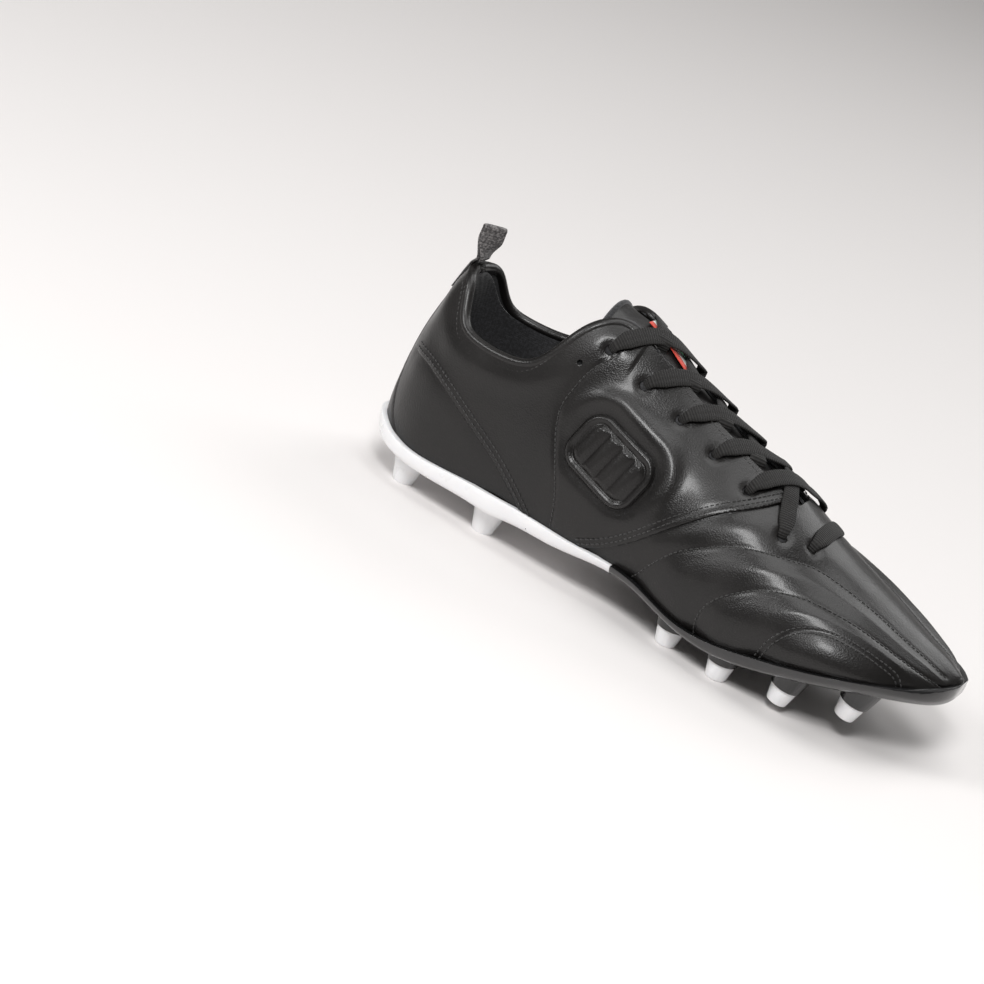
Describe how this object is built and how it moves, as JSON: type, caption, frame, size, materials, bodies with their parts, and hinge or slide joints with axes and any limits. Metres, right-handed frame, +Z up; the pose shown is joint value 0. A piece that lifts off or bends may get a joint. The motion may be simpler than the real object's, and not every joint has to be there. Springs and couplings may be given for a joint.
{
  "type": "soccer cleat",
  "caption": "Low-cut leather soccer cleat for the right foot: quilted vamp, laced tongue, two-piece moulded sole with conical studs and a rear pull tab",
  "frame": {"origin": "on the ground under the middle of the footprint", "axes": "+X to the toe, +Y to the inner (medial) side, +Z up"},
  "size_m": [0.2806, 0.0992, 0.1188],
  "materials": {
    "white_tpu": "smooth white moulded polyurethane",
    "black_tpu": "glossy black moulded polyurethane",
    "black_leather": "fine-grained semi-gloss black leather",
    "lace_cord": "flat ribbed black woven lace",
    "webbing": "mottled dark grey webbing",
    "woven_label": "woven band in red, white and green stripes",
    "lining_fabric": "black knit lining",
    "board": "pressed fibre board",
    "stiffener": "thermoplastic stiffener",
    "foam": "dark closed-cell foam",
    "backing_textile": "woven backing"
  },
  "bodies": {
    "root": {"backstay": "black_leather", "bottom_filler": "foam", "collar_binding": "black_leather", "collar_foam": "foam", "eyestay_tape_lateral": "backing_textile", "eyestay_tape_medial": "backing_textile", "heel_counter": "stiffener", "heel_lining": "lining_fabric", "heel_panel_lateral": "black_leather", "heel_panel_medial": "black_leather", "insole_board": "board", "lace": "lace_cord", "outsole_front_plate": "black_tpu", "outsole_rear_plate": "white_tpu", "pull_tab_anchor": "webbing", "quarter_backing_lateral": "backing_textile", "quarter_backing_medial": "backing_textile", "quarter_lateral": "black_leather", "quarter_lining_lateral": "lining_fabric", "quarter_lining_medial": "lining_fabric", "quarter_medial": "black_leather", "side_patch_lateral": "black_leather", "side_patch_medial": "black_leather", "sockliner": "foam", "stud_tip_lateral_1": "white_tpu", "stud_tip_lateral_2": "white_tpu", "stud_tip_lateral_3": "white_tpu", "stud_tip_lateral_4": "white_tpu", "stud_tip_medial_1": "white_tpu", "stud_tip_medial_2": "white_tpu", "stud_tip_medial_3": "white_tpu", "stud_tip_medial_4": "white_tpu", "toe_puff": "stiffener", "vamp": "black_leather", "vamp_foam": "foam", "vamp_lining": "lining_fabric"},
    "tongue": {"tongue_binding": "black_leather", "tongue_foam": "foam", "tongue_label": "woven_label", "tongue_leather": "black_leather", "tongue_lining": "lining_fabric"},
    "pull_tab": {"pull_tab": "webbing"}
  },
  "joints": [
    {"name": "tongue_hinge", "type": "hinge", "parent": "root", "child": "tongue", "pos_m": [0.04695, 0.0005, 0.064], "axis": [0, -1, 0], "range_deg": [0, 10]},
    {"name": "pull_tab_fold", "type": "hinge", "parent": "root", "child": "pull_tab", "pos_m": [-0.12745, 0.0005, 0.1036], "axis": [0, 1, 0], "range_deg": [-75, 60]}
  ]
}
